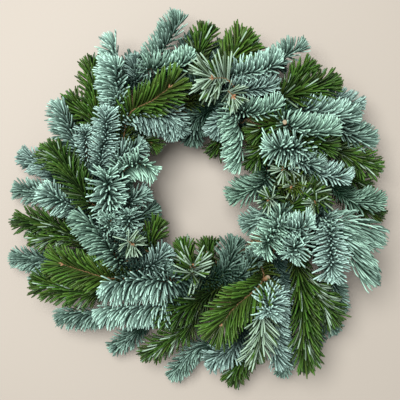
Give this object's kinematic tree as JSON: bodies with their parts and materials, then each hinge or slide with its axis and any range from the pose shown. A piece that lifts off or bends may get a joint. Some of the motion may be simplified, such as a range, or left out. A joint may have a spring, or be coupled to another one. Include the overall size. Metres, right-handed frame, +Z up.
{
  "type": "advent wreath",
  "caption": "Round wreath of noble fir and Nordmann fir sprays, bound with wire round a straw ring, open in the middle and flat underneath so that it lies on a table.",
  "frame": {"origin": "on the surface that the wreath lies on, under the middle of its outline seen from above", "axes": "+Z up, out of the surface it lies on; seen from above the sprays point clockwise; -Y is the viewer's side"},
  "size_m": [0.3936, 0.3804, 0.1046],
  "materials": {
    "straw": "matt pressed straw",
    "wire": "green lacquered soft iron wire",
    "noble_fir": "waxy blue-green needles on brown twigs",
    "nordmann_fir": "glossy green needles with pale undersides, on orange-brown twigs"
  },
  "bodies": {
    "root": {"straw_ring": "straw", "binding_wire": "wire", "noble_spray_01": "noble_fir", "noble_spray_02": "noble_fir", "noble_spray_03": "noble_fir", "noble_spray_04": "noble_fir", "noble_spray_05": "noble_fir", "noble_spray_06": "noble_fir", "noble_spray_07": "noble_fir", "noble_spray_08": "noble_fir", "noble_spray_09": "noble_fir", "noble_spray_10": "noble_fir", "noble_spray_11": "noble_fir", "noble_spray_12": "noble_fir", "noble_spray_13": "noble_fir", "noble_spray_14": "noble_fir", "noble_spray_15": "noble_fir", "noble_spray_16": "noble_fir", "noble_spray_17": "noble_fir", "noble_spray_18": "noble_fir", "noble_spray_19": "noble_fir", "noble_spray_20": "noble_fir", "noble_spray_21": "noble_fir", "noble_spray_22": "noble_fir", "noble_spray_23": "noble_fir", "noble_spray_24": "noble_fir", "noble_spray_25": "noble_fir", "noble_spray_26": "noble_fir", "noble_spray_27": "noble_fir", "noble_spray_28": "noble_fir", "noble_spray_29": "noble_fir", "noble_spray_30": "noble_fir", "noble_spray_31": "noble_fir", "noble_spray_32": "noble_fir", "noble_spray_33": "noble_fir", "noble_spray_34": "noble_fir", "noble_spray_35": "noble_fir", "noble_spray_36": "noble_fir", "noble_spray_37": "noble_fir", "nordmann_spray_01": "nordmann_fir", "nordmann_spray_02": "nordmann_fir", "nordmann_spray_03": "nordmann_fir", "nordmann_spray_04": "nordmann_fir", "nordmann_spray_05": "nordmann_fir", "nordmann_spray_06": "nordmann_fir", "nordmann_spray_07": "nordmann_fir", "nordmann_spray_08": "nordmann_fir", "nordmann_spray_09": "nordmann_fir", "nordmann_spray_10": "nordmann_fir", "nordmann_spray_11": "nordmann_fir", "nordmann_spray_12": "nordmann_fir", "nordmann_spray_13": "nordmann_fir", "nordmann_spray_14": "nordmann_fir", "nordmann_spray_15": "nordmann_fir", "nordmann_spray_16": "nordmann_fir", "nordmann_spray_17": "nordmann_fir", "nordmann_spray_18": "nordmann_fir", "nordmann_spray_19": "nordmann_fir", "nordmann_spray_20": "nordmann_fir", "nordmann_spray_21": "nordmann_fir"}
  },
  "joints": []
}
